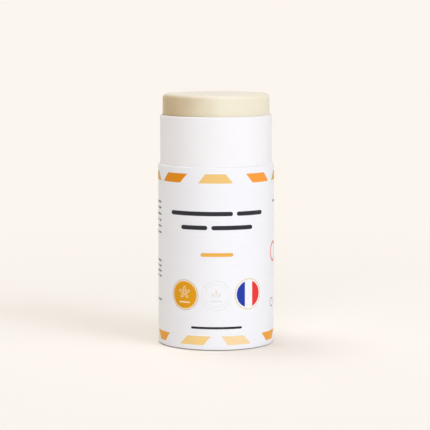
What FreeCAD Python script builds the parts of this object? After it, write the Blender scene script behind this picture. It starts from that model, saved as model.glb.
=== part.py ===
"""A push-up deodorant stick in a two-layer paperboard tube. Millimetres, +Z up.

The origin is the middle of the foot, on the surface that the tube stands on, and the label's front
faces -Y. A short outer sleeve is glued over a longer inner tube, whose bare upper end is the neck
that a cap slides over. The inner tube's lower edge is curled inwards. A pressed board cup rides in
the tube above that curl and carries the balm, and a thumb pushed in from below lifts both.
"""

import FreeCAD
import Part

import math
import os

# Sizes of the tube
BORE_RADIUS = 19.0
INNER_WALL = 0.8
GLUE_LINE = 0.02
SLEEVE_WALL = 0.58
TUBE_HEIGHT = 81.0
SLEEVE_HEIGHT = 63.8
NECK_RIM_ROUND = 0.3
SLEEVE_RIM_ROUND = 0.22
FOOT_CURL_RADIUS = 1.6

# Sizes of the paper label, which is wrapped once round the sleeve and laps over itself at the back
LABEL_THICKNESS = 0.1
LABEL_TOP_MARGIN = 0.4
LABEL_FOOT_MARGIN = 0.4
LABEL_LAP = 4.0
LABEL_RAMP = 0.8
LABEL_SEAM_DEGREES = 90.0

# Sizes of the cup that pushes the balm up
CUP_CLEARANCE = 0.2
CUP_BOARD = 0.8
CUP_HEIGHT = 7.0
CUP_SHOULDER_ROUND = 1.1
CUP_CURL_RADIUS = 1.3

# Sizes of the balm, and how far it has been pushed up from its lowest place
BALM_CLEARANCE = 0.1
BALM_LENGTH = 70.2
BALM_EDGE_ROUND = 1.7
BALM_CROWN = 0.5
PUSHED_UP = 8.6

# Places that follow from the sizes
TUBE_RADIUS = BORE_RADIUS + INNER_WALL
SLEEVE_BORE_RADIUS = TUBE_RADIUS + GLUE_LINE
SLEEVE_RADIUS = SLEEVE_BORE_RADIUS + SLEEVE_WALL
LABEL_RADIUS = SLEEVE_RADIUS + LABEL_THICKNESS
FOOT_CURL_TOP = 2.0 * FOOT_CURL_RADIUS
CUP_RADIUS = BORE_RADIUS - CUP_CLEARANCE
CUP_FOOT = FOOT_CURL_TOP + PUSHED_UP
CUP_TOP = CUP_FOOT + CUP_HEIGHT
BALM_RADIUS = BORE_RADIUS - BALM_CLEARANCE
BALM_TOP = CUP_TOP + BALM_LENGTH

# How far the short straight steps of a round stretch may lie inside the true circle
SAG_SEEN = 0.03
SAG_HIDDEN = 0.1
DECIMALS = 9

AXIS = FreeCAD.Vector(0, 0, 1)
ORIGIN = FreeCAD.Vector(0, 0, 0)
FULL_TURN = 360.0
CURL_TURN = 270.0


class HalfSection:
    """A closed outline in the plane of radius and height, which is turned about the tube's axis."""

    def __init__(self, radius, height):
        self.points = [FreeCAD.Vector(radius, 0, height)]

    def line(self, radius, height):
        """Goes straight to a point."""
        end = FreeCAD.Vector(round(radius, DECIMALS), 0, round(height, DECIMALS))
        if end != self.points[-1]:
            self.points.append(end)
        return self

    def arc(self, centre_radius, centre_height, size, start_degrees, end_degrees, sag):
        """Goes round a circle in short straight steps, none of which lies inside it by more than the sag.

        The angles are counted from outwards towards up.
        """
        sweep = end_degrees - start_degrees
        longest_step = 2.0 * math.degrees(math.acos(1.0 - sag / size))
        steps = math.ceil(abs(sweep) / longest_step)
        for i in range(steps + 1):
            angle = math.radians(start_degrees + sweep * i / steps)
            radius = centre_radius + size * math.cos(angle)
            height = centre_height + size * math.sin(angle)
            self.line(radius, height)
        return self

    def turned(self):
        """Closes the outline and turns it into a solid."""
        wire = Part.makePolygon(self.points + [self.points[0]])
        return Part.Face(wire).revolve(ORIGIN, AXIS, FULL_TURN)


def curled_foot(outline, outer_radius, foot, curl_radius, board, sag):
    """Draws a board wall's lower edge, rolled inwards through three quarters of a circle.

    The outline arrives down the wall's outer face and leaves at the start of its inner face.
    """
    centre_radius = outer_radius - curl_radius
    centre_height = foot + curl_radius
    outline.arc(centre_radius, centre_height, curl_radius, 0.0, -CURL_TURN, sag)
    outline.arc(centre_radius, centre_height, curl_radius - board, -CURL_TURN, 0.0, SAG_HIDDEN)


def inner_tube():
    """The long tube that holds the balm: a rounded rim above and a curled edge at the foot."""
    rim_centre = TUBE_HEIGHT - NECK_RIM_ROUND
    inner_round = BORE_RADIUS + NECK_RIM_ROUND
    outer_round = TUBE_RADIUS - NECK_RIM_ROUND
    outline = HalfSection(BORE_RADIUS, rim_centre)
    outline.arc(inner_round, rim_centre, NECK_RIM_ROUND, 180.0, 90.0, SAG_SEEN)
    outline.arc(outer_round, rim_centre, NECK_RIM_ROUND, 90.0, 0.0, SAG_SEEN)
    curled_foot(outline, TUBE_RADIUS, 0.0, FOOT_CURL_RADIUS, INNER_WALL, SAG_SEEN)
    return outline.turned()


def outer_sleeve():
    """The short tube glued over the inner one, whose upper edge is the shoulder for a cap."""
    rim_centre = SLEEVE_HEIGHT - SLEEVE_RIM_ROUND
    outer_round = SLEEVE_RADIUS - SLEEVE_RIM_ROUND
    outline = HalfSection(SLEEVE_BORE_RADIUS, 0.0)
    outline.line(SLEEVE_BORE_RADIUS, SLEEVE_HEIGHT)
    outline.arc(outer_round, rim_centre, SLEEVE_RIM_ROUND, 90.0, 0.0, SAG_SEEN)
    outline.line(SLEEVE_RADIUS, 0.0)
    return outline.turned()


def on_circle(radius, degrees):
    """A point on a circle round the axis, with its angle counted from +X towards +Y."""
    angle = math.radians(degrees)
    return FreeCAD.Vector(radius * math.cos(angle), radius * math.sin(angle), 0)


def plan_arc(radius, start_degrees, end_degrees):
    """An edge along a circle round the axis."""
    middle_degrees = (start_degrees + end_degrees) / 2.0
    points = [on_circle(radius, d) for d in (start_degrees, middle_degrees, end_degrees)]
    return Part.Arc(*points).toShape()


def label():
    """The paper wrapped round the sleeve: one turn, with its end lapped over its start at the back."""
    lapped_radius = LABEL_RADIUS + LABEL_THICKNESS
    lap_degrees = math.degrees(LABEL_LAP / LABEL_RADIUS)
    ramp_degrees = math.degrees(LABEL_RAMP / LABEL_RADIUS)
    free_end = LABEL_SEAM_DEGREES + lap_degrees / 2.0
    lap_start = free_end - lap_degrees
    ramp_start = lap_start - ramp_degrees
    edges = [
        plan_arc(LABEL_RADIUS, free_end, ramp_start + FULL_TURN),
        Part.LineSegment(
            on_circle(LABEL_RADIUS, ramp_start), on_circle(lapped_radius, lap_start)
        ).toShape(),
        plan_arc(lapped_radius, lap_start, free_end),
        Part.LineSegment(
            on_circle(lapped_radius, free_end), on_circle(LABEL_RADIUS, free_end)
        ).toShape(),
    ]
    outside = Part.Face(Part.Wire(edges))
    bore = Part.Face(Part.Wire(Part.makeCircle(SLEEVE_RADIUS, ORIGIN, AXIS)))
    height = SLEEVE_HEIGHT - LABEL_TOP_MARGIN - LABEL_FOOT_MARGIN
    wrap = outside.cut(bore).extrude(AXIS * height)
    wrap.translate(AXIS * LABEL_FOOT_MARGIN)
    return wrap


def push_cup():
    """The pressed board cup under the balm: a flat floor, a rounded shoulder and a curled skirt."""
    inside_radius = CUP_RADIUS - CUP_BOARD
    inside_top = CUP_TOP - CUP_BOARD
    inside_round = CUP_SHOULDER_ROUND - CUP_BOARD
    shoulder_radius = CUP_RADIUS - CUP_SHOULDER_ROUND
    shoulder_height = CUP_TOP - CUP_SHOULDER_ROUND
    outline = HalfSection(0.0, inside_top)
    outline.line(0.0, CUP_TOP)
    outline.arc(shoulder_radius, shoulder_height, CUP_SHOULDER_ROUND, 90.0, 0.0, SAG_HIDDEN)
    curled_foot(outline, CUP_RADIUS, CUP_FOOT, CUP_CURL_RADIUS, CUP_BOARD, SAG_HIDDEN)
    outline.line(inside_radius, shoulder_height)
    outline.arc(shoulder_radius, shoulder_height, inside_round, 0.0, 90.0, SAG_HIDDEN)
    return outline.turned()


def deodorant_balm():
    """The cast stick of balm: straight sides, a rounded upper edge and a slightly crowned top."""
    flat_radius = BALM_RADIUS - BALM_EDGE_ROUND
    edge_height = BALM_TOP - BALM_CROWN - BALM_EDGE_ROUND
    crown_radius = (flat_radius**2 + BALM_CROWN**2) / (2.0 * BALM_CROWN)
    crown_degrees = math.degrees(math.asin(flat_radius / crown_radius))
    outline = HalfSection(0.0, CUP_TOP)
    outline.line(BALM_RADIUS, CUP_TOP)
    outline.arc(flat_radius, edge_height, BALM_EDGE_ROUND, 0.0, 90.0, SAG_SEEN)
    crown_centre = BALM_TOP - crown_radius
    outline.arc(0.0, crown_centre, crown_radius, 90.0 - crown_degrees, 90.0, SAG_SEEN)
    return outline.turned()


PIECES = {
    "inner_tube": inner_tube,
    "outer_sleeve": outer_sleeve,
    "label": label,
    "push_cup": push_cup,
    "deodorant_balm": deodorant_balm,
}


def main():
    """Builds each piece and writes it as its own file."""
    os.makedirs("parts", exist_ok=True)
    for name, build in PIECES.items():
        shape = build()
        shape.exportStep(os.path.join("parts", name + ".step"))
        print(name, round(shape.Volume, 2), "mm3", "valid" if shape.isValid() else "INVALID")


main()
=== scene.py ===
"""Dresses a push-up deodorant stick: its board tube, paper label, print, push-up cup and balm.

The middle of the stick's foot is at the origin, and the label's front faces -Y. Sizes are written
in millimetres and turned to metres by MM. A place in the print is a pair: the distance along the
paper's curve, counted rightwards from the middle of the front, and the height over the floor.
"""

import logging
import math
from dataclasses import dataclass
from enum import Enum, IntEnum
from typing import Callable, Iterable, Sequence

import bmesh
import bpy
from bpy.types import Material, Node, NodeSocket, NodeTree, Object
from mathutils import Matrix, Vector, noise


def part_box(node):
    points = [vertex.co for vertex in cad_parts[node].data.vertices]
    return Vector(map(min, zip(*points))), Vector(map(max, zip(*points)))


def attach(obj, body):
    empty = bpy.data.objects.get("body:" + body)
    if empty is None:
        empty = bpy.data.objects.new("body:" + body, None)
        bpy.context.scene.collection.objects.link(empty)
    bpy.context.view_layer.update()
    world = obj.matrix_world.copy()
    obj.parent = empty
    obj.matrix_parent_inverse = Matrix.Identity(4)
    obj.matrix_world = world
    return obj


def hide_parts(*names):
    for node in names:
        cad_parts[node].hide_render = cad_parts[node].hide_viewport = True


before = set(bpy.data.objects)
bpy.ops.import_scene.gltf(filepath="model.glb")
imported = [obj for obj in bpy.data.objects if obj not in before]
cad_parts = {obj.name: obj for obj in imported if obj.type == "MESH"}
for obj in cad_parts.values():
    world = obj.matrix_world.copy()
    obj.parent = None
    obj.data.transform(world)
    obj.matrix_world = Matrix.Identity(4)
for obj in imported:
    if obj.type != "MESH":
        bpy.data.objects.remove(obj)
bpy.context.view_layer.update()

MM = 0.001
TURN = 2.0 * math.pi
SHARP_ANGLE = math.radians(40.0)
FOLD_DEPTH = 0.09 * MM

# Points closer than this are one, and places along the label are rounded to these digits
SAME_POINT = 1e-7
DIGITS = 7

# Blender's numbers for the sockets of a Mix node that mixes colours
MIX_SHARE, MIX_FIRST, MIX_SECOND, MIX_COLOUR = 0, 6, 7, 2

# How many radians of its wave Blender's wave texture puts in a unit of its scale
WAVE_RADIANS = 20.0

Pair = tuple[float, float]
Wave = Callable[[Vector], float]
Source = Node | NodeSocket

log = logging.getLogger("deodorant_stick")


class Body(Enum):
    """The two parts that move apart: the tube that is held, and the stick that slides up in it."""

    TUBE = "tube"
    STICK = "stick"


class Slot(Enum):
    """The record's material slots."""

    NECK_BOARD = "neck_board"
    SLEEVE_BOARD = "sleeve_board"
    LABEL_PAPER = "label_paper"
    CUP_BOARD = "cup_board"
    BALM = "balm"


def mm(*sizes: float) -> tuple[float, ...]:
    """Turns millimetres to metres."""
    return tuple(size * MM for size in sizes)


def linear(hex_code: str) -> tuple[float, float, float, float]:
    """Turns an sRGB hex value to linear light.

    Args:
        hex_code: A hash sign and six hex digits.

    Returns:
        Red, green and blue, and an alpha of one.
    """
    channels = (int(hex_code[i : i + 2], 16) / 255.0 for i in (1, 3, 5))
    light = (c / 12.92 if c <= 0.04045 else ((c + 0.055) / 1.055) ** 2.4 for c in channels)
    return (*light, 1.0)


def add_node(tree: NodeTree, kind: str, inputs: dict | None = None, **settings: object) -> Node:
    """Adds a node with its settings, its values and its links.

    Args:
        tree: The node tree that it goes into.
        kind: The node's type name.
        inputs: By socket name or number, a value, an output socket that links in, or a node whose
            first output does.
        settings: The node's own options.

    Returns:
        The new node.
    """
    node = tree.nodes.new(kind)
    for name, value in settings.items():
        setattr(node, name, value)
    for socket, value in (inputs or {}).items():
        if isinstance(value, Node):
            value = value.outputs[0]
        if isinstance(value, NodeSocket):
            tree.links.new(value, node.inputs[socket])
        else:
            node.inputs[socket].default_value = value
    return node


def start_material(name: str) -> tuple[Material, NodeTree, Node, NodeSocket]:
    """Starts a material with its shader and the piece's own coordinates.

    Args:
        name: The finish's name.

    Returns:
        The material, its node tree, its shader and its coordinates.
    """
    material = bpy.data.materials.new(name)
    material.use_nodes = True
    tree = material.node_tree
    tree.nodes.clear()
    shader = add_node(tree, "ShaderNodeBsdfPrincipled")
    add_node(tree, "ShaderNodeOutputMaterial", {"Surface": shader})
    return material, tree, shader, add_node(tree, "ShaderNodeTexCoord").outputs["Object"]


def dress(
    shader: Node, share: Source, tones: Sequence, heights: Node, relief: float, roughness: float
) -> None:
    """Gives a shader its colour, which is mixed from two tones, and its relief and roughness.

    Args:
        shader: The material's shader.
        share: How much of the second tone shows at a place.
        tones: The two tones, each a colour or a socket that gives one.
        heights: The height of the relief at a place.
        relief: How deep the relief is.
        roughness: How rough the surface is.
    """
    tree = shader.id_data
    mix = {MIX_SHARE: share, MIX_FIRST: tones[0], MIX_SECOND: tones[1]}
    tone = add_node(tree, "ShaderNodeMix", mix, data_type="RGBA")
    bumps = {"Strength": 1.0, "Distance": relief, "Height": heights}
    bump = add_node(tree, "ShaderNodeBump", bumps)
    tree.links.new(tone.outputs[MIX_COLOUR], shader.inputs["Base Color"])
    tree.links.new(bump.outputs[0], shader.inputs["Normal"])
    shader.inputs["Roughness"].default_value = roughness


@dataclass(frozen=True)
class PressedPulp:
    """What every board and paper here shares: wood fibres, pressed flat, that cloud its tone.

    Fibres are about 0.03 mm wide, too fine to show, so they are drawn as grain of fibre_size. They
    gather into clouds of a few millimetres.
    """

    name: str
    pale: str
    dark: str
    roughness: float
    cloud_size: float = 5.0 * MM
    fibre_size: float = 0.7 * MM
    relief: float = 0.004 * MM

    def build(self) -> Material:
        """Makes the material.

        Returns:
            Two close tones mixed by the fibre clouds, over a low fibrous relief.
        """
        material, tree, shader, place = start_material(self.name)
        clouds = add_node(
            tree, "ShaderNodeTexNoise",
            {"Vector": place, "Scale": 1.0 / self.cloud_size, "Detail": 5.0, "Roughness": 0.62},
        )
        fibres = add_node(
            tree, "ShaderNodeTexNoise",
            {"Vector": place, "Scale": 1.0 / self.fibre_size, "Detail": 3.0, "Distortion": 0.8},
        )
        tones = (linear(self.pale), linear(self.dark))
        dress(shader, clouds, tones, fibres, self.relief, self.roughness)
        return material


@dataclass(frozen=True)
class ClayCoatedBoard(PressedPulp):
    """Bleached, clay-coated board. The eye sees an even white with a soft broad sheen."""

    name: str = "clay_coated_board"
    pale: str = "#FBFAFB"
    dark: str = "#F6F5F5"
    roughness: float = 0.55


@dataclass(frozen=True)
class LabelPaper(PressedPulp):
    """Machine-coated label paper. It is a little cooler and smoother than the board beside it."""

    name: str = "coated_label_paper"
    pale: str = "#F8F9FB"
    dark: str = "#F3F4F7"
    roughness: float = 0.5
    relief: float = 0.003 * MM


@dataclass(frozen=True)
class GreaseproofLining(PressedPulp):
    """Glassine paper, glued in against oil. It is yellower and closer-pored than the board."""

    name: str = "greaseproof_lining"
    pale: str = "#EFE9DB"
    dark: str = "#E4DCCB"
    roughness: float = 0.42


@dataclass(frozen=True)
class KraftBoard(PressedPulp):
    """Unbleached kraft board, pressed in a die: tan with darker fibre clouds, and no sheen."""

    name: str = "pressed_kraft_board"
    pale: str = "#CDB68F"
    dark: str = "#A98D63"
    roughness: float = 0.85
    cloud_size: float = 3.0 * MM
    relief: float = 0.02 * MM


@dataclass(frozen=True)
class CutEdge:
    """The sawn end of wound board, where its plies show as rings. Each ply is 0.2 mm thick."""

    name: str = "wound_board_edge"
    ply: str = "#F8F6F4"
    glue: str = "#EAE6E1"
    roughness: float = 0.9
    ply_thickness: float = 0.2 * MM
    tear_size: float = 0.3 * MM
    relief: float = 0.03 * MM

    def build(self) -> Material:
        """Makes the material.

        Returns:
            Rings about the tube's axis, darker at the glue lines, over a torn fibrous relief.
        """
        material, tree, shader, place = start_material(self.name)
        scale = TURN / (WAVE_RADIANS * self.ply_thickness)
        rings = add_node(
            tree, "ShaderNodeTexWave", {"Vector": place, "Scale": scale, "Distortion": 0.6},
            wave_type="RINGS", rings_direction="Z",
        )
        torn = add_node(
            tree, "ShaderNodeTexNoise",
            {"Vector": place, "Scale": 1.0 / self.tear_size, "Detail": 4.0, "Roughness": 0.7},
        )
        tones = (linear(self.glue), linear(self.ply))
        dress(shader, rings.outputs["Fac"], tones, torn, self.relief, self.roughness)
        return material


@dataclass(frozen=True)
class PrintInk:
    """Offset ink, sunk into coated paper: a flat colour with little shine and a trace of grain."""

    name: str
    colour: str
    thin: str
    roughness: float = 0.5
    shine: float = 0.2
    grain: float = 0.6 * MM
    relief: float = 0.002 * MM

    def build(self) -> Material:
        """Makes the material.

        Returns:
            The ink's colour, with thinner ink in the paper's grain.
        """
        material, tree, shader, place = start_material(self.name)
        grain = add_node(
            tree, "ShaderNodeTexNoise",
            {"Vector": place, "Scale": 1.0 / self.grain, "Detail": 4.0, "Roughness": 0.6},
        )
        tones = (linear(self.colour), linear(self.thin))
        dress(shader, grain, tones, grain, self.relief, self.roughness)
        shader.inputs["Specular IOR Level"].default_value = self.shine
        return material


@dataclass(frozen=True)
class CastBalm:
    """A poured balm of plant butter, wax and starch, with a wide soft shine. Its colour is set by
    place on the object: the deeper, warmer left side is painted shade and the paler right side is
    painted light, and the greyer top is painted shade too."""

    name: str = "cast_wax_balm"
    # Painted light and shade: the first tone is the lit right side, the second the shaded left side
    pale: str = "#F3ECD5"
    shaded_side: str = "#C9AF7C"
    # Painted shade: the top's greyer tone, which also tones down the highlight on the upper edge
    shaded_top: str = "#E2DAC8"
    roughness: float = 0.42
    # Painted shade and light by place: across X the tone goes from the shaded left to the lit right
    side_shade_from: float = -17.0 * MM
    side_shade_to: float = 1.5 * MM
    # Heights over which the top's painted shade takes over, reaching down over the upper edge
    top_from: float = 87.5 * MM
    top_to: float = 88.4 * MM
    lit_side_share: float = 0.85
    cloud_share: float = 0.3
    cloud_size: float = 7.0 * MM
    grain_size: float = 0.5 * MM
    relief: float = 0.02 * MM
    ior: float = 1.46
    inner_light: float = 0.35
    inner_tint: tuple[float, float, float] = (1.0, 0.6, 0.3)
    reach: float = 1.2 * MM

    def build(self) -> Material:
        """Makes the material.

        Returns:
            Tones mixed by side, painted shade on the left and painted light on the right, and by
            casting clouds, with painted shade on the top, over a fine grain of starch.
        """
        material, tree, shader, place = start_material(self.name)
        clouds, grain = (
            add_node(
                tree, "ShaderNodeTexNoise",
                {"Vector": place, "Scale": 1.0 / size, "Detail": detail, "Roughness": rough},
            )
            for size, detail, rough in ((self.cloud_size, 4.0, 0.55), (self.grain_size, 3.0, 0.6))
        )
        sides = add_node(tree, "ShaderNodeSeparateXYZ", {0: place})
        # Painted shade on the left and painted light on the right, set by the object's X
        reach = {"From Min": self.side_shade_from, "From Max": self.side_shade_to, "To Max": self.lit_side_share}
        lit_side_share = add_node(tree, "ShaderNodeMapRange", {"Value": sides.outputs["X"], **reach})
        # Painted shade on the top, blended down over the upper edge where it dims the highlight
        reach = {"From Min": self.top_from, "From Max": self.top_to}
        on_top = add_node(tree, "ShaderNodeMapRange", {"Value": sides.outputs["Z"], **reach})
        share = add_node(
            tree, "ShaderNodeMath", {0: clouds, 1: self.cloud_share, 2: lit_side_share},
            operation="MULTIPLY_ADD", use_clamp=True,
        )
        mix = {MIX_SHARE: share, MIX_FIRST: linear(self.shaded_side), MIX_SECOND: linear(self.pale)}
        side_shaded_tone = add_node(tree, "ShaderNodeMix", mix, data_type="RGBA")
        tones = (side_shaded_tone.outputs[MIX_COLOUR], linear(self.shaded_top))
        dress(shader, on_top, tones, grain, self.relief, self.roughness)
        shader.inputs["IOR"].default_value = self.ior
        shader.inputs["Subsurface Weight"].default_value = self.inner_light
        shader.inputs["Subsurface Radius"].default_value = self.inner_tint
        shader.inputs["Subsurface Scale"].default_value = self.reach
        return material


def clouds(size: float) -> Wave:
    """Smooth unevenness with bumps of a width: it gives a height from 0 to 1 at a place."""
    return lambda place: 0.5 + 0.5 * noise.noise(place / size)


def pleats(count: int, drift: float = 2.5, lumps: float = 4.0) -> Wave:
    """Folds side by side round the axis, some wider than others.

    Args:
        count: How many there are in a full turn.
        drift: How far they stray from even places, in radians of a fold.
        lumps: How often that changes round the axis.

    Returns:
        A function that gives a height from 0 to 1 at a place.
    """

    def wave(place: Vector) -> float:
        """The height at a place, from 0 to 1."""
        angle = math.atan2(place.y, place.x)
        stray = drift * noise.noise(Vector((math.cos(angle), math.sin(angle), 0.0)) * lumps)
        return 0.5 + 0.5 * math.sin(count * angle + stray)

    return wave


@dataclass(frozen=True)
class Station:
    """A point of a half section, and how far full relief moves it in radius and height."""

    radius: float
    height: float
    finish: int = 0
    push: Pair = (0.0, 0.0)
    wave: Wave | None = None

    def placed(self, angle: float) -> Vector:
        """Turns the point about the axis.

        Args:
            angle: How far round it is, in radians.

        Returns:
            Its place in the scene, with its relief.
        """
        out = Vector((math.cos(angle), math.sin(angle), 0.0))
        place = out * self.radius + Vector((0.0, 0.0, self.height))
        if self.wave is None:
            return place
        amount = self.wave(place)
        return place + out * (self.push[0] * amount) + Vector((0.0, 0.0, self.push[1] * amount))


class Outline:
    """A closed half section in radius and height. Each of its steps has a finish of its own."""

    def __init__(self, radius: float, height: float) -> None:
        """Starts the outline at a point."""
        self.stations = [Station(radius, height)]

    def line(
        self,
        radius: float,
        height: float,
        finish: int = 0,
        steps: int = 1,
        push: Pair = (0.0, 0.0),
        wave: Wave | None = None,
    ) -> None:
        """Goes straight to a point.

        Args:
            radius: The point's distance from the axis.
            height: Its height.
            finish: The number of the finish on the way there.
            steps: How many steps the way is cut into.
            push: What full relief does to each point, in radius and height.
            wave: The relief.
        """
        start = self.stations[-1]
        for i in range(1, steps + 1):
            part = i / steps
            across = start.radius + (radius - start.radius) * part
            up = start.height + (height - start.height) * part
            self.stations.append(Station(across, up, finish, push, wave))

    def arc(
        self,
        centre: Pair,
        size: float,
        start: float,
        end: float,
        steps: int,
        finish: int = 0,
        depths: Pair = (0.0, 0.0),
        wave: Wave | None = None,
    ) -> None:
        """Goes round a circle, with relief that presses the surface towards its centre.

        Args:
            centre: The circle's centre in radius and height.
            size: Its radius.
            start: The first angle in degrees, from outwards towards up.
            end: The last angle.
            steps: How many steps the way is cut into.
            finish: The number of its finish.
            depths: How deep the relief is at the start and at the end.
            wave: The relief.
        """
        for i in range(steps + 1):
            part = i / steps
            angle = math.radians(start + (end - start) * part)
            depth = depths[0] + (depths[1] - depths[0]) * part
            out, up = math.cos(angle), math.sin(angle)
            push = (-depth * out, -depth * up)
            across, high = centre[0] + size * out, centre[1] + size * up
            self.stations.append(Station(across, high, finish, push, wave))

    def turned(self, name: str, finishes: Sequence[Material], columns: int = 384) -> Object:
        """Turns the outline about the axis into a closed mesh.

        Args:
            name: The piece's name.
            finishes: The materials, by finish number.
            columns: How many steps a full turn has.

        Returns:
            The new object.
        """
        kept = [self.stations[0]]
        for station in self.stations[1:]:
            step = math.hypot(station.radius - kept[-1].radius, station.height - kept[-1].height)
            if step > SAME_POINT:
                kept.append(station)
        first, last = kept[0], kept[-1]
        if math.hypot(first.radius - last.radius, first.height - last.height) <= SAME_POINT:
            kept[0] = kept.pop()
        places, rings = [], []
        for station in kept:
            count = columns if station.radius > SAME_POINT else 1
            rings.append(range(len(places), len(places) + count))
            places.extend(station.placed(TURN * j / columns) for j in range(count))
        faces, numbers = [], []
        for i, station in enumerate(kept):
            before, after = rings[i - 1], rings[i]
            if len(before) == 1 and len(after) == 1:
                continue
            for j in range(columns):
                k = (j + 1) % columns
                corners = [before[j % len(before)], before[k % len(before)]]
                corners += [after[k % len(after)], after[j % len(after)]]
                faces.append(list(dict.fromkeys(corners)))
                numbers.append(station.finish)
        return solid(name, places, faces, finishes, numbers)


def solid(
    name: str,
    places: Sequence[Vector],
    faces: Sequence[Sequence[int]],
    finishes: Sequence[Material],
    numbers: Sequence[int] | None = None,
) -> Object:
    """Makes a closed mesh object, smooth but for its sharp edges.

    Args:
        name: The piece's name.
        places: The vertices, in metres.
        faces: The faces, as vertex numbers.
        finishes: The materials.
        numbers: The number of each face's material, the first one if left out.

    Returns:
        The new object, in the scene.
    """
    mesh = bpy.data.meshes.new(name)
    mesh.from_pydata([tuple(p) for p in places], [], [list(f) for f in faces])
    for material in finishes:
        mesh.materials.append(material)
    if numbers is not None:
        mesh.polygons.foreach_set("material_index", list(numbers))
    shape = bmesh.new()
    shape.from_mesh(mesh)
    bmesh.ops.recalc_face_normals(shape, faces=shape.faces)
    shape.to_mesh(mesh)
    shape.free()
    mesh.polygons.foreach_set("use_smooth", [True] * len(mesh.polygons))
    mesh.set_sharp_from_angle(angle=SHARP_ANGLE)
    piece = bpy.data.objects.new(name, mesh)
    bpy.context.scene.collection.objects.link(piece)
    return piece


def fit(piece: Object, body: Body, slot: Slot, *nodes: str) -> None:
    """Joins a piece to its body and reports it.

    Args:
        piece: The piece.
        body: The body that it moves with.
        slot: The record's slot for its finish. It is not used.
        nodes: The frame's nodes that it stands for, if any.
    """
    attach(piece, body.value)
    if nodes:
        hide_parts(*nodes)
    log.info("%s rides on %s, %d faces", piece.name, body.value, len(piece.data.polygons))


class Board(IntEnum):
    """The faces of a board wall, as numbers of its finishes."""

    OUTER = 0
    LINING = 1
    EDGE = 2


def add_curled_foot(
    outline: Outline, outer: float, foot: float, curl: float, board: float, folds: int
) -> None:
    """Draws a board wall's lower edge, rolled inwards through three quarters of a circle.

    The outline arrives down the wall's outer face and leaves at the start of its inner face. A roll
    that goes inwards has less and less room, so its board gathers into fine folds.

    Args:
        outline: The outline that it goes on.
        outer: The wall's outer radius.
        foot: The height of the lowest point.
        curl: The roll's radius.
        board: The board's thickness.
        folds: How many folds there are in a full turn.
    """
    centre = (outer - curl, foot + curl)
    wave, deepest = pleats(folds), FOLD_DEPTH
    outline.arc(centre, curl, 0.0, -90.0, 10, Board.OUTER)
    outline.arc(centre, curl, -90.0, -270.0, 22, Board.OUTER, (0.0, deepest), wave)
    outline.arc(centre, curl - board, -270.0, -90.0, 14, Board.LINING, (deepest, 0.0), wave)
    outline.arc(centre, curl - board, -90.0, 0.0, 8, Board.LINING)


@dataclass
class WoundTube:
    """The two glued tubes that are held in the hand.

    The inner one is long, its bare upper end is the neck, and its foot is curled inwards. The outer
    sleeve is shorter, and its upper edge is the shoulder.
    """

    wall: float = 0.8 * MM
    rim_round: float = 0.28 * MM
    rim_roll: float = 0.5 * MM
    curl: float = 1.6 * MM
    curl_folds: int = 60
    sleeve_gap: float = 0.02 * MM
    sleeve_round: float = 0.46 * MM
    sleeve_foot: float = 0.26 * MM
    foot_round: float = 0.22 * MM
    unevenness: float = 0.04 * MM
    rim_tear: float = 1.1 * MM
    sleeve_tear: float = 0.9 * MM
    wall_wave: float = 9.0 * MM
    lip: float = 2.0 * MM

    def build(self) -> None:
        """Builds both tubes and joins them to their body."""
        finishes = [ClayCoatedBoard().build(), GreaseproofLining().build(), CutEdge().build()]
        neck = self.inner_tube().turned("board_neck_tube", finishes)
        fit(neck, Body.TUBE, Slot.NECK_BOARD, "inner_tube")
        sleeve = self.outer_sleeve().turned("board_outer_sleeve", finishes)
        fit(sleeve, Body.TUBE, Slot.SLEEVE_BOARD, "outer_sleeve")

    def inner_tube(self) -> Outline:
        """Draws the long tube.

        Returns:
            Its half section.
        """
        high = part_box("inner_tube")[1]
        outer, top = high.x, high.z
        inner = outer - self.wall
        rim = top - self.rim_round
        torn = clouds(self.rim_tear)
        outline = Outline(inner, rim - self.lip)
        outline.line(inner, rim, Board.LINING, 4)
        outline.arc(
            (inner + self.rim_round, rim), self.rim_round, 180.0, 90.0, 6,
            Board.EDGE, (0.0, self.unevenness), torn,
        )
        outline.line(outer - self.rim_roll, top, Board.OUTER, 2, (0.0, -self.unevenness), torn)
        outline.arc(
            (outer - self.rim_roll, top - self.rim_roll), self.rim_roll, 90.0, 0.0, 8,
            Board.OUTER, (self.unevenness, 0.0), torn,
        )
        waves = clouds(self.wall_wave)
        outline.line(outer, 2.0 * self.curl, Board.OUTER, 60, (-self.unevenness, 0.0), waves)
        outline.line(outer, self.curl, Board.OUTER, 2)
        add_curled_foot(outline, outer, 0.0, self.curl, self.wall, self.curl_folds)
        outline.line(inner, rim - self.lip, Board.LINING, 40)
        return outline

    def outer_sleeve(self) -> Outline:
        """Draws the short tube glued over the long one.

        Returns:
            Its half section.
        """
        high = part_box("outer_sleeve")[1]
        outer, top = high.x, high.z
        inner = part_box("inner_tube")[1].x + self.sleeve_gap
        rim = top - self.sleeve_round
        torn = clouds(self.sleeve_tear)
        foot = self.sleeve_foot
        outline = Outline(inner, foot)
        outline.line(inner, top, Board.LINING, 24)
        across = outer - self.sleeve_round
        outline.line(across, top, Board.OUTER, 2, (0.0, -self.unevenness), torn)
        outline.arc(
            (across, rim), self.sleeve_round, 90.0, 0.0, 6,
            Board.OUTER, (self.unevenness, 0.0), torn,
        )
        outline.line(outer, foot + self.foot_round, Board.OUTER, 24)
        outline.arc(
            (outer - self.foot_round, foot + self.foot_round), self.foot_round, 0.0, -90.0, 6,
            Board.OUTER, (self.unevenness, 0.0), torn,
        )
        outline.line(inner, foot, Board.EDGE, 2, (0.0, self.unevenness), torn)
        return outline


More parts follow.
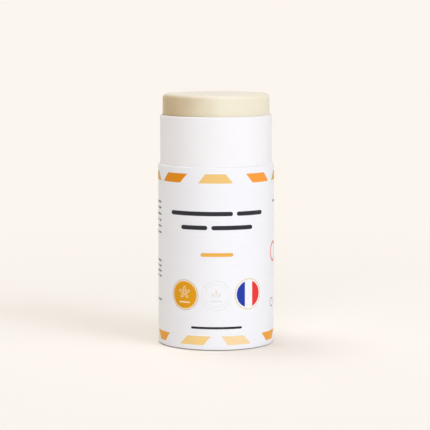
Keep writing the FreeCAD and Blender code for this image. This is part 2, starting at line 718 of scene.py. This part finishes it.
@dataclass
class PushCup:
    """The cup that a thumb pushes: one disc of kraft board, drawn in a die, with a curled skirt."""

    board: float = 0.8 * MM
    shoulder_round: float = 1.1 * MM
    curl: float = 1.3 * MM
    skirt_folds: int = 48
    fold_depth: float = 0.1 * MM
    bead_radius: float = 11.0 * MM
    bead_width: float = 1.2 * MM
    bead_depth: float = 0.25 * MM
    bead_flat: float = 0.6

    def build(self) -> None:
        """Builds the cup and joins it to its body."""
        kraft = KraftBoard().build()
        low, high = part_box("push_cup")
        outer, foot, top = high.x, low.z, high.z
        shoulder = (outer - self.shoulder_round, top - self.shoulder_round)
        under = top - self.board
        folds, pressed = pleats(self.skirt_folds), (-self.fold_depth, 0.0)
        outline = Outline(0.0, under)
        outline.line(0.0, top)
        outline.line(shoulder[0], top, 0, 8)
        outline.arc(shoulder, self.shoulder_round, 90.0, 0.0, 8, 0, (0.0, self.fold_depth), folds)
        outline.line(outer, foot + self.curl, 0, 12, pressed, folds)
        add_curled_foot(outline, outer, foot, self.curl, self.board, self.skirt_folds)
        outline.line(outer - self.board, shoulder[1], 0, 12, pressed, folds)
        outline.arc(shoulder, self.shoulder_round - self.board, 0.0, 90.0, 6)
        half = self.bead_flat * self.bead_width
        outline.line(self.bead_radius + self.bead_width, under, 0, 4)
        outline.line(self.bead_radius + half, under - self.bead_depth)
        outline.line(self.bead_radius - half, under - self.bead_depth)
        outline.line(self.bead_radius - self.bead_width, under)
        outline.line(0.0, under, 0, 6)
        cup = outline.turned("kraft_push_cup", [kraft, kraft, kraft])
        fit(cup, Body.STICK, Slot.CUP_BOARD, "push_cup")


@dataclass
class Balm:
    """The cast stick: straight sides, a soft upper edge and a slightly crowned top."""

    edge_round: float = 1.7 * MM
    crown: float = 0.5 * MM
    side_dents: float = 0.1 * MM
    top_dents: float = 0.14 * MM
    dent_size: float = 8.0 * MM
    top_rings: int = 30

    def build(self) -> None:
        """Builds the balm and joins it to its body."""
        low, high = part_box("deodorant_balm")
        outer, foot, top = high.x, low.z, high.z
        flat = outer - self.edge_round
        edge = top - self.crown - self.edge_round
        uneven = clouds(self.dent_size)
        outline = Outline(0.0, foot)
        outline.line(outer, foot, 0, 8)
        outline.line(outer, edge, 0, 56, (-self.side_dents, 0.0), uneven)
        outline.arc(
            (flat, edge), self.edge_round, 0.0, 90.0, 18, 0,
            (self.side_dents, self.top_dents), uneven,
        )
        for i in reversed(range(self.top_rings)):
            part = i / self.top_rings
            height = top - self.crown * part * part
            outline.line(flat * part, height, 0, 1, (0.0, -self.top_dents), uneven)
        balm = outline.turned("cast_balm", [CastBalm().build()])
        fit(balm, Body.STICK, Slot.BALM, "deodorant_balm")


@dataclass(frozen=True)
class LabelSheet:
    """The paper wrapped once round the sleeve, its end lapped over its start at the back."""

    sleeve: float
    thickness: float = 0.1 * MM
    lap: float = 4.0 * MM
    ramp: float = 0.8 * MM
    bedding: float = 0.02 * MM
    end_lift: float = 0.05 * MM
    loose_end: float = 1.5 * MM
    least_lift: float = 0.4
    wave_size: float = 7.0 * MM
    column: float = 0.35 * MM
    rows: int = 30

    @property
    def radius(self) -> float:
        """The radius of its face, along which the print is measured."""
        return self.sleeve + self.thickness

    @property
    def end(self) -> float:
        """How far along the curve its free end is from the middle of the front."""
        return (TURN * self.radius + self.lap) / 2.0

    def face(self, along: float) -> float:
        """The radius of its face at a place: one thickness more where the end laps the start."""
        rise = (along - (self.end - self.lap - self.ramp)) / self.ramp
        return self.radius + self.thickness * min(1.0, max(0.0, rise))

    def place(self, along: float, height: float, lift: float = 0.0) -> Vector:
        """Where a point of the flat paper is once it is wrapped.

        Args:
            along: The distance along the curve from the middle of the front.
            height: The height over the floor.
            lift: The distance out of the paper's face.

        Returns:
            The place in the scene.
        """
        angle = along / self.radius
        radius = self.face(along) + lift
        return Vector((radius * math.sin(angle), -radius * math.cos(angle), height))

    def build(self) -> None:
        """Builds the sheet and joins it to its body."""
        low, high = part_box("label")
        lap_start = self.end - self.lap
        length = 2.0 * self.end
        count = math.ceil(length / self.column)
        stops = {round(lap_start, DIGITS), round(lap_start - self.ramp, DIGITS)}
        stops.update(round(length * i / count - self.end, DIGITS) for i in range(count + 1))
        columns = sorted(stops)
        heights = [low.z + (high.z - low.z) * i / self.rows for i in range(self.rows + 1)]
        waves = clouds(self.wave_size)
        places = []
        for along in columns:
            loose = max(0.0, (along - self.end + self.loose_end) / self.loose_end) ** 2
            under = -self.thickness - (0.0 if along > lap_start else self.bedding)
            for height in heights:
                rise = (1.0 - self.least_lift) * waves(Vector((0.0, 0.0, height)))
                lift = self.end_lift * loose * (self.least_lift + rise)
                places.append(self.place(along, height, lift))
                places.append(self.place(along, height, lift + under))
        stride, last = 2 * len(heights), 2 * self.rows
        faces = []
        for a in range(0, stride * (len(columns) - 1), stride):
            b = a + stride
            for j in range(0, last, 2):
                faces.append((a + j, b + j, b + j + 2, a + j + 2))
                faces.append((a + j + 1, a + j + 3, b + j + 3, b + j + 1))
            for j in (0, last):
                faces.append((a + j, b + j, b + j + 1, a + j + 1))
        for a in (0, stride * (len(columns) - 1)):
            faces += [(j, j + 1, j + 3, j + 2) for j in range(a, a + last, 2)]
        sheet = solid("paper_label", places, faces, [LabelPaper().build()])
        fit(sheet, Body.TUBE, Slot.LABEL_PAPER, "label")


@dataclass(frozen=True)
class Field:
    """A flat field of ink: its outline, and that of a hole of as many points if it has one."""

    outer: tuple[Pair, ...]
    hole: tuple[Pair, ...] = ()


def round_loop(centre: Pair, radii: Pair, turn: float = 0.0, steps: int = 56) -> tuple[Pair, ...]:
    """The points of a circle or an ellipse.

    Args:
        centre: Its centre.
        radii: Its half lengths along and up.
        turn: How far it is turned, in degrees.
        steps: How many points it has.

    Returns:
        The points.
    """
    cos_turn, sin_turn = math.cos(math.radians(turn)), math.sin(math.radians(turn))
    points = []
    for i in range(steps):
        along = radii[0] * math.cos(TURN * i / steps)
        up = radii[1] * math.sin(TURN * i / steps)
        across = centre[0] + along * cos_turn - up * sin_turn
        points.append((across, centre[1] + along * sin_turn + up * cos_turn))
    return tuple(points)


def disc(centre: Pair, radius: float) -> Field:
    """A full disc."""
    return Field(round_loop(centre, (radius, radius)))


def ring(centre: Pair, radius: float, line: float) -> Field:
    """A circle drawn with a line of the given width inside its radius."""
    inside = radius - line
    return Field(round_loop(centre, (radius, radius)), round_loop(centre, (inside, inside)))


def bar(start: float, end: float, height: float, thickness: float) -> Field:
    """A bar with round ends.

    Args:
        start: Its left end.
        end: Its right end.
        height: The height of its middle.
        thickness: How thick it is.

    Returns:
        The field.
    """
    half = thickness / 2.0
    steps = 8
    points = []
    for centre, first in ((end - half, -90.0), (start + half, 90.0)):
        for i in range(steps + 1):
            angle = math.radians(first + 180.0 * i / steps)
            points.append((centre + half * math.cos(angle), height + half * math.sin(angle)))
    return Field(tuple(points))


def words(ends: Sequence[float], height: float, thickness: float) -> list[Field]:
    """Bars in place of a line's words, from the left and right end of each, one after the other."""
    return [bar(start, end, height, thickness) for start, end in zip(ends[::2], ends[1::2])]


def stripe(centre: Pair, radius: float, left: float, right: float) -> Field:
    """The part of a disc between two upright cuts.

    Args:
        centre: The disc's centre.
        radius: Its radius.
        left: Where the left cut is along the paper.
        right: Where the right cut is.

    Returns:
        The field.
    """
    left_turn, right_turn = (
        math.acos(max(-1.0, min(1.0, (cut - centre[0]) / radius))) for cut in (left, right)
    )
    steps = 24
    points = []
    for first, last in ((right_turn, left_turn), (-left_turn, -right_turn)):
        for i in range(steps + 1):
            angle = first + (last - first) * i / steps
            across, up = radius * math.cos(angle), radius * math.sin(angle)
            points.append((centre[0] + across, centre[1] + up))
    loop = [p for i, p in enumerate(points) if math.dist(p, points[i - 1]) > 10.0 * SAME_POINT]
    return Field(tuple(loop))


@dataclass(frozen=True)
class Press:
    """Puts ink on the wrapped label, each colour as one thin closed skin that follows the paper."""

    sheet: LabelSheet
    cut: float = 0.7 * MM
    sink: float = 0.01 * MM
    layer: float = 0.012 * MM
    weld: float = 0.0005 * MM

    def flat(self, one: Field) -> tuple[list[Pair], list[list[int]], list[Pair]]:
        """Cuts a field into narrow upright strips that can bend round the tube.

        Args:
            one: The field.

        Returns:
            Its points, its faces and its border edges, all still flat.
        """
        shape = bmesh.new()
        loop = [shape.verts.new((a, h, 0.0)) for a, h in one.outer]
        cuts = [(self.sheet.end, 1.0, True), (self.sheet.lap - self.sheet.end, -1.0, True)]
        if one.hole:
            inside = [shape.verts.new((a, h, 0.0)) for a, h in one.hole]
            for i in range(len(loop)):
                shape.faces.new((loop[i - 1], loop[i], inside[i], inside[i - 1]))
        else:
            shape.faces.new(loop)
            first = math.ceil(min(a for a, _ in one.outer) / self.cut)
            last = math.floor(max(a for a, _ in one.outer) / self.cut)
            cuts = [(i * self.cut, 1.0, False) for i in range(first, last + 1)] + cuts
        for along, side, trims in cuts:
            everything = shape.verts[:] + shape.edges[:] + shape.faces[:]
            bmesh.ops.bisect_plane(
                shape, geom=everything, plane_co=(along, 0, 0), plane_no=(side, 0, 0),
                clear_outer=trims,
            )
        bmesh.ops.remove_doubles(shape, verts=shape.verts, dist=self.weld)
        shape.verts.index_update()
        points = [(v.co.x, v.co.y) for v in shape.verts]
        faces = [[v.index for v in f.verts] for f in shape.faces]
        border = [(e.verts[0].index, e.verts[1].index) for e in shape.edges if e.is_boundary]
        shape.free()
        return points, faces, border

    def put(self, name: str, ink: PrintInk, fields: Iterable[Field], layer: int = 1) -> None:
        """Prints fields of one ink as one piece.

        Args:
            name: The piece's name.
            ink: Its ink.
            fields: The fields.
            layer: Its place among inks that lie on each other, from 1.
        """
        places: list[Vector] = []
        faces: list[list[int]] = []
        for one in fields:
            points, flat_faces, border = self.flat(one)
            base, count, lift = len(places), len(points), layer * self.layer
            for out in (lift, lift - self.layer - self.sink):
                places.extend(self.sheet.place(a, h, out) for a, h in points)
            for face in flat_faces:
                faces.append([base + i for i in face])
                faces.append([base + count + i for i in reversed(face)])
            for i, j in border:
                faces.append([base + i, base + j, base + count + j, base + count + i])
        fit(solid(name, places, faces, [ink.build()]), Body.TUBE, Slot.LABEL_PAPER)


def block(ends: Sequence[float], heights: Pair, shift: float = 0.0) -> Field:
    """A slanted block of a border.

    Args:
        ends: How far its four corners are along the paper, in millimetres, from the upper left one
            by way of the lower ones.
        heights: The heights of its upper and its lower side, in millimetres.
        shift: How far it is moved along the paper, in millimetres.

    Returns:
        The field in metres.
    """
    upper, lower = heights
    corners = zip(ends, (upper, lower, lower, upper))
    return Field(tuple(mm(along + shift, height) for along, height in corners))


@dataclass
class Artwork:
    """The print: two borders of slanted blocks, lines of plain bars where words would be, three
    round badges and small notes at both sides."""

    press: Press
    repeat: float = 46.7
    upper_border: Pair = (61.5, 58.3)
    lower_border: Pair = (5.1, 2.0)
    bold: float = 1.5 * MM
    medium: float = 1.3 * MM
    light: float = 0.8 * MM
    small: float = 0.7 * MM
    note_words: tuple[float, ...] = (5.2, 3.1, 6.4, 2.4, 4.3, 3.6)
    note_gap: float = 1.1
    note_end: float = 44.0
    black: PrintInk = PrintInk("ink_soft_black", "#26262C", "#303037")
    amber: PrintInk = PrintInk("ink_amber", "#EFAF3F", "#F5BD5C")
    grey: PrintInk = PrintInk("ink_grey", "#7D7A7C", "#918E90")

    def build(self) -> None:
        """Prints everything."""
        self.borders()
        self.lines()
        self.flower_badge(mm(-11.6, 19.25))
        self.grain_badge(mm(0.05, 19.3))
        self.striped_badge(mm(11.95, 19.55))
        self.side_notes()

    def borders(self) -> None:
        """Prints the border under the shoulder and the one over the foot, all the way round."""
        upper, lower = self.upper_border, self.lower_border
        bronze = ((-35.9, -33.1, -24.5, -27.4), (28.0, 25.1, 33.7, 36.5))
        wedges = ((-28.6, -25.4, -21.3, -18.8), (18.25, 21.2, 26.0, 29.0))
        gold, amber = (-3.8, -6.3, 5.9, 3.3), (-19.4, -22.4, -13.4, -10.4)
        orange, straw = (10.8, 13.6, 22.2, 19.3), (-10.4, -13.4, -4.4, -1.9)
        sand = (1.8, 4.1, 12.9, 10.0)
        rows = (
            ("bronze", "#D8AC58", "#DDB566", upper, bronze, (0,)),
            ("wedges", "#F2A42C", "#F6AE3D", lower, wedges, (0,)),
            ("gold", "#F5C877", "#F8D084", upper, (gold,), (-1, 0, 1)),
            ("amber", "#E78F00", "#EE9808", upper, (amber,), (-1, 0)),
            ("orange", "#FC9E36", "#FEA744", upper, (orange,), (0, 1)),
            ("straw", "#FBD386", "#FCDA94", lower, (straw,), (-1, 0, 1)),
            ("sand", "#FADBA2", "#FCE1AF", lower, (sand,), (-1, 0, 1)),
        )
        for name, colour, thin, heights, blocks, turns in rows:
            ink = PrintInk("ink_border_" + name, colour, thin)
            fields = [block(ends, heights, self.repeat * i) for i in turns for ends in blocks]
            self.press.put("border_" + name, ink, fields)

    def lines(self) -> None:
        """Prints the bars on the front, in the places and lengths of its lines of words."""
        title = words(mm(-17.5, 5.9, 7.3, 18.05), 47.76 * MM, self.bold)
        title += words(mm(-12.9, -3.04, -1.65, 13.47), 42.92 * MM, self.bold)
        title += words(mm(-9.0, 9.28), 8.0 * MM, self.light)
        self.press.put("front_bars_dark", self.black, title)
        kind = words(mm(-5.44, 6.03), 33.55 * MM, self.medium)
        self.press.put("front_bar_amber", self.amber, kind)

    def flower_badge(self, centre: Pair) -> None:
        """Prints the amber badge with a plain five-petalled flower over a bar.

        Args:
            centre: Its centre.
        """
        rim = PrintInk("ink_badge_rim", "#A98A63", "#B99C77")
        cream = PrintInk("ink_badge_cream", "#FBE4C0", "#FCEACC")
        ground = PrintInk("ink_badge_amber", "#E59C04", "#EAA610")
        rim_radius, rim_line, halo_radius, halo_line, disc_radius = mm(5.35, 0.14, 5.15, 0.5, 4.7)
        self.press.put("badge_amber_rim", rim, [ring(centre, rim_radius, rim_line)])
        self.press.put("badge_amber_halo", cream, [ring(centre, halo_radius, halo_line)])
        self.press.put("badge_amber_ground", ground, [disc(centre, disc_radius)], 2)
        petals, points = 5, 28
        petal, opening = mm(0.95, 0.5), mm(0.72, 0.28)
        heart_rise, petal_reach, bar_half, bar_drop, bar_line = mm(0.9, 1.3, 2.2, 2.5, 0.45)
        flower = []
        heart = (centre[0], centre[1] + heart_rise)
        for i in range(petals):
            turn = 90.0 + 360.0 / petals * i
            out = (math.cos(math.radians(turn)), math.sin(math.radians(turn)))
            middle = (heart[0] + petal_reach * out[0], heart[1] + petal_reach * out[1])
            loops = (round_loop(middle, radii, turn, points) for radii in (petal, opening))
            flower.append(Field(*loops))
        left, right = centre[0] - bar_half, centre[0] + bar_half
        flower.append(bar(left, right, centre[1] - bar_drop, bar_line))
        self.press.put("badge_amber_flower", cream, flower, 3)

    def grain_badge(self, centre: Pair) -> None:
        """Prints the faint badge: a ring of dots, a thin ring, and a seed between two leaves.

        Args:
            centre: Its centre.
        """
        faint = PrintInk("ink_faint_grey", "#E1E2DF", "#E7E8E6")
        peach = PrintInk("ink_faint_peach", "#F2E6D9", "#F5EBE0")
        leaf = PrintInk("ink_faint_leaf", "#E4E9DA", "#E9EEE1")
        spots = round_loop(centre, mm(5.15, 5.15), 0.0, 32)
        marks = [Field(round_loop(spot, mm(0.22, 0.22), 0.0, 12)) for spot in spots]
        ring_radius, ring_line, bar_half, bar_drop, bar_line = mm(4.1, 0.13, 2.0, 1.9, 0.3)
        marks.append(ring(centre, ring_radius, ring_line))
        left, right = centre[0] - bar_half, centre[0] + bar_half
        marks.append(bar(left, right, centre[1] - bar_drop, bar_line))
        self.press.put("badge_faint_rings", faint, marks)
        seed_rise, leaf_out, leaf_rise = mm(1.1, 1.0, 0.1)
        seed = round_loop((centre[0], centre[1] + seed_rise), mm(1.0, 0.42), 90.0, 24)
        leaves = []
        for side in (-1, 1):
            middle = (centre[0] + side * leaf_out, centre[1] + leaf_rise)
            leaves.append(Field(round_loop(middle, mm(0.95, 0.36), 90.0 - 40.0 * side, 24)))
        self.press.put("badge_faint_seed", peach, [Field(seed)])
        self.press.put("badge_faint_sprout", leaf, leaves)

    def striped_badge(self, centre: Pair) -> None:
        """Prints the badge with three upright stripes in a thin gold ring.

        Args:
            centre: Its centre.
        """
        gold = PrintInk("ink_badge_gold", "#EFCF95", "#F3D8A6")
        blue = PrintInk("ink_badge_blue", "#1A35A4", "#233DAB")
        red = PrintInk("ink_badge_red", "#EC322F", "#EF3B38")
        ring_radius, ring_line, radius, left, right = mm(5.45, 0.3, 4.65, 10.45, 13.48)
        self.press.put("badge_stripes_ring", gold, [ring(centre, ring_radius, ring_line)])
        blue_cuts, red_cuts = (centre[0] - radius, left), (right, centre[0] + radius)
        self.press.put("badge_stripe_blue", blue, [stripe(centre, radius, *blue_cuts)])
        self.press.put("badge_stripe_red", red, [stripe(centre, radius, *red_cuts)])

    def note(self, edge: float, height: float, side: int, first: int) -> list[Field]:
        """A row of small bars that runs from the front's border towards the back.

        Args:
            edge: Where it starts, in millimetres along the paper.
            height: Its height in millimetres.
            side: -1 where it runs left, 1 where it runs right.
            first: Which of the bars' lengths comes first.

        Returns:
            The fields.
        """
        row = []
        while abs(edge) < self.note_end:
            length = self.note_words[first % len(self.note_words)]
            ends = mm(*sorted((edge, edge + side * length)))
            row += words(ends, height * MM, self.small)
            edge += side * (length + self.note_gap)
            first += 1
        return row

    def side_notes(self) -> None:
        """Prints the small notes: bars at both sides, and a ring and a round mark at the right."""
        coral = PrintInk("ink_coral", "#EB7D70", "#EF8F83")
        left_edge, right_edge, short_edge = -24.8, 31.0, 26.6
        left_rows = (50.7, 48.6, 46.4, 44.2, 42.1, 39.9, 29.9, 28.0, 26.2, 24.4, 16.0)
        right_rows = (50.9, 48.8, 46.7, 44.6, 26.0, 24.0)
        notes = []
        for row, height in enumerate(left_rows):
            notes += self.note(left_edge, height, -1, row)
        for row, height in enumerate(right_rows):
            notes += self.note(right_edge if row else short_edge, height, 1, row + 2)
        notes.append(ring(mm(25.75, 15.1), *mm(1.65, 0.3)))
        self.press.put("side_notes", self.grey, notes)
        self.press.put("side_round_mark", coral, [ring(mm(27.9, 33.0), *mm(3.7, 0.8))])


@dataclass(frozen=True)
class Lamp:
    """A wide soft lamp, so far off that it lights the floor evenly. Its angles are in degrees."""

    name: str
    azimuth: float
    elevation: float
    strength: float
    width: float
    tint: str

    def build(self) -> None:
        """Hangs the lamp: its azimuth is how far right of the front it is."""
        data = bpy.data.lights.new(self.name, "SUN")
        data.energy = self.strength
        data.angle = math.radians(self.width)
        data.color = linear(self.tint)[:3]
        lamp = bpy.data.objects.new(self.name, data)
        across, up = math.radians(self.azimuth), math.radians(self.elevation)
        level = math.cos(up)
        away = Vector((math.sin(across) * level, -math.cos(across) * level, math.sin(up)))
        lamp.location = away
        lamp.rotation_euler = away.to_track_quat("Z", "Y").to_euler()
        bpy.context.scene.collection.objects.link(lamp)


@dataclass
class Studio:
    """The pale floor and background, the soft lamps and the camera."""

    cream: str = "#FCF6EF"
    floor_tone: str = "#FCF5EC"
    floor_half: float = 4.0
    floor_roughness: float = 0.95
    floor_shine: float = 0.1
    near: float = 0.16
    far: float = 0.42
    daylight: float = 0.2
    daylight_tint: str = "#FFF0DF"
    lens: float = 156.98
    sensor: float = 36.0
    eye: tuple[float, float, float] = (-0.000383, -0.6618, 0.1177)
    tilt: float = 83.75
    nearest: float = 0.02
    furthest: float = 50.0
    lamps: tuple[Lamp, ...] = (
        Lamp("key_softbox", 45.0, 30.0, 0.95, 30.0, "#E6F1FF"),
        Lamp("high_key_softbox", 70.0, 50.0, 0.26, 30.0, "#EAF0FF"),
        Lamp("window", 0.0, 20.0, 0.91, 50.0, "#F1F2FF"),
        Lamp("left_softbox", -110.0, 76.0, 0.7, 30.0, "#F6FEFF"),
        Lamp("rear_softbox", -140.0, 60.0, 0.29, 40.0, "#E8F0FF"),
        Lamp("overhead_softbox", 180.0, 80.0, 0.82, 60.0, "#FFFEFC"),
    )

    def build(self) -> None:
        """Builds all of it."""
        self.camera()
        for lamp in self.lamps:
            lamp.build()
        self.world()
        self.floor()

    def camera(self) -> None:
        """Places the camera where the outlines of the stick put it."""
        data = bpy.data.cameras.new("camera")
        data.lens = self.lens
        data.sensor_width = self.sensor
        data.clip_start = self.nearest
        data.clip_end = self.furthest
        camera = bpy.data.objects.new("camera", data)
        camera.location = self.eye
        camera.rotation_euler = (math.radians(self.tilt), 0.0, 0.0)
        bpy.context.scene.collection.objects.link(camera)
        bpy.context.scene.camera = camera

    def seen_rays(self, tree: NodeTree) -> NodeSocket:
        """Tells the rays that show the background from those that light the object.

        Args:
            tree: The node tree that it goes into.

        Returns:
            A socket that is 1 for camera, glossy and transmission rays.
        """
        path = add_node(tree, "ShaderNodeLightPath").outputs
        shown = path["Is Camera Ray"]
        for kind in ("Is Glossy Ray", "Is Transmission Ray"):
            both = {0: shown, 1: path[kind]}
            shown = add_node(tree, "ShaderNodeMath", both, operation="MAXIMUM").outputs[0]
        return shown

    def world(self) -> None:
        """Makes the background cream, and the even light that comes from all round."""
        world = bpy.data.worlds.new("studio")
        world.use_nodes = True
        tree = world.node_tree
        tree.nodes.clear()
        light, view = (
            add_node(tree, "ShaderNodeBackground", {"Color": linear(tint), "Strength": strength})
            for tint, strength in ((self.daylight_tint, self.daylight), (self.cream, 1.0))
        )
        shares = {0: self.seen_rays(tree), 1: light, 2: view}
        mixed = add_node(tree, "ShaderNodeMixShader", shares)
        add_node(tree, "ShaderNodeOutputWorld", {"Surface": mixed})
        bpy.context.scene.world = world

    def floor(self) -> None:
        """Lays a matt paper floor, which turns into the background's plain cream further out."""
        half = self.floor_half
        mesh = bpy.data.meshes.new("floor")
        corners = [(-half, -half, 0.0), (half, -half, 0.0), (half, half, 0.0), (-half, half, 0.0)]
        mesh.from_pydata(corners, [], [(0, 1, 2, 3)])
        floor = bpy.data.objects.new("floor", mesh)
        bpy.context.scene.collection.objects.link(floor)
        material, tree, shader, place = start_material("matt_background_paper")
        shader.inputs["Base Color"].default_value = linear(self.floor_tone)
        shader.inputs["Roughness"].default_value = self.floor_roughness
        shader.inputs["Specular IOR Level"].default_value = self.floor_shine
        away = add_node(tree, "ShaderNodeVectorMath", {0: place}, operation="LENGTH")
        blend = add_node(
            tree, "ShaderNodeMapRange",
            {"Value": away.outputs["Value"], "From Min": self.near, "From Max": self.far},
            interpolation_type="SMOOTHSTEP",
        )
        seen = self.seen_rays(tree)
        share = add_node(tree, "ShaderNodeMath", {0: blend, 1: seen}, operation="MULTIPLY")
        glow = add_node(tree, "ShaderNodeEmission", {0: linear(self.cream), 1: 1.0})
        mixed = add_node(tree, "ShaderNodeMixShader", {0: share, 1: shader, 2: glow})
        output = next(n for n in tree.nodes if n.type == "OUTPUT_MATERIAL")
        tree.links.new(mixed.outputs[0], output.inputs["Surface"])
        mesh.materials.append(material)


def main() -> None:
    """Builds the stick and its studio. Each piece logs its body and face count as it is joined."""
    logging.basicConfig(level=logging.INFO, format="%(message)s")
    bpy.context.scene.view_settings.view_transform = "Standard"
    WoundTube().build()
    sheet = LabelSheet(sleeve=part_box("outer_sleeve")[1].x)
    sheet.build()
    Artwork(Press(sheet)).build()
    PushCup().build()
    Balm().build()
    Studio().build()


if __name__ == "__main__":
    main()
